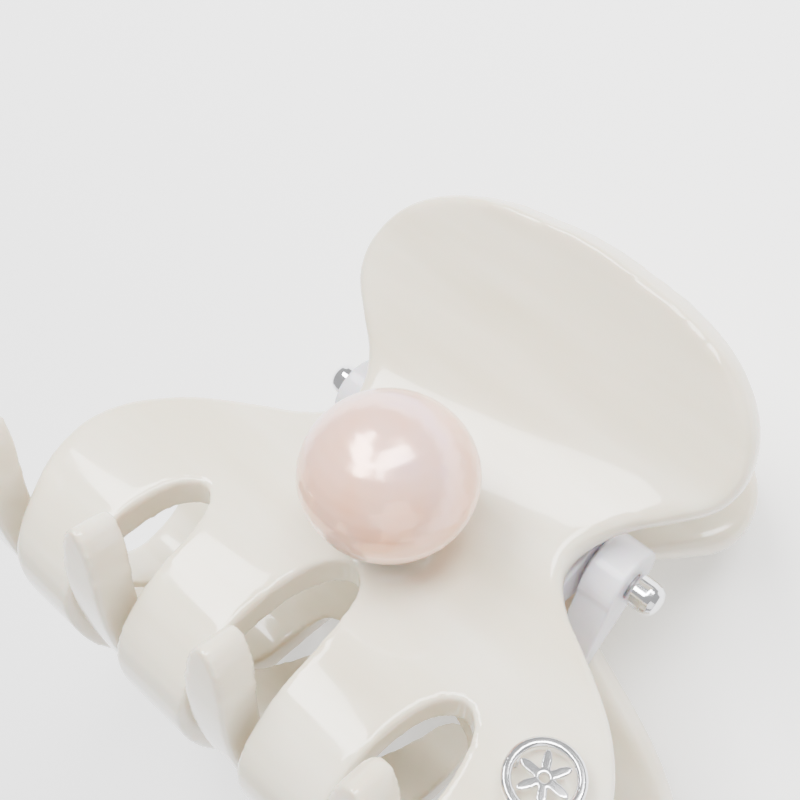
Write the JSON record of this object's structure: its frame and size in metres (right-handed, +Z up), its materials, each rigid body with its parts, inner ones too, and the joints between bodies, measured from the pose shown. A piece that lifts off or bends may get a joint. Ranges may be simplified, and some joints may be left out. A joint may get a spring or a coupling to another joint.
{
  "type": "hair claw clip",
  "caption": "Sprung hair claw clip: two curved jaws with interleaving teeth and fan handles on a pin hinge, with a pearl and a round badge.",
  "frame": {"origin": "centre of the bounding box's bottom, on the table", "axes": "+X along the hinge pin, +Y from the teeth towards the handles, +Z up; the clip lies on its back as it rests on a table"},
  "size_m": [0.0552, 0.047, 0.0389],
  "materials": {
    "acetate": "polished pearly cream cellulose acetate",
    "clear_acetate": "milky clear acetate",
    "steel": "drawn steel",
    "silver": "polished silver plate",
    "pearl": "pink nacre"
  },
  "bodies": {
    "rear_half": {"rear_jaw": "acetate", "rear_ear_right": "clear_acetate", "rear_ear_left": "clear_acetate", "hinge_pin": "steel", "pin_cap_right": "silver", "pin_cap_left": "silver", "washer_right": "steel", "washer_left": "steel", "torsion_spring": "steel"},
    "front_half": {"front_jaw": "acetate", "front_ear_right": "clear_acetate", "front_ear_left": "clear_acetate", "pearl_cup": "silver", "pearl": "pearl", "pearl_peg": "steel", "badge_ring": "silver", "badge_daisy": "silver", "badge_post_left": "steel", "badge_post_right": "steel"}
  },
  "joints": [
    {"name": "jaw_pivot", "type": "hinge", "parent": "rear_half", "child": "front_half", "pos_m": [0, 0.00425, 0.01548], "axis": [-1, 0, 0], "range_deg": [0, 40], "stiffness_Nm_per_rad": 0.05, "springref_deg": -34.38, "deforming": ["torsion_spring"]}
  ]
}
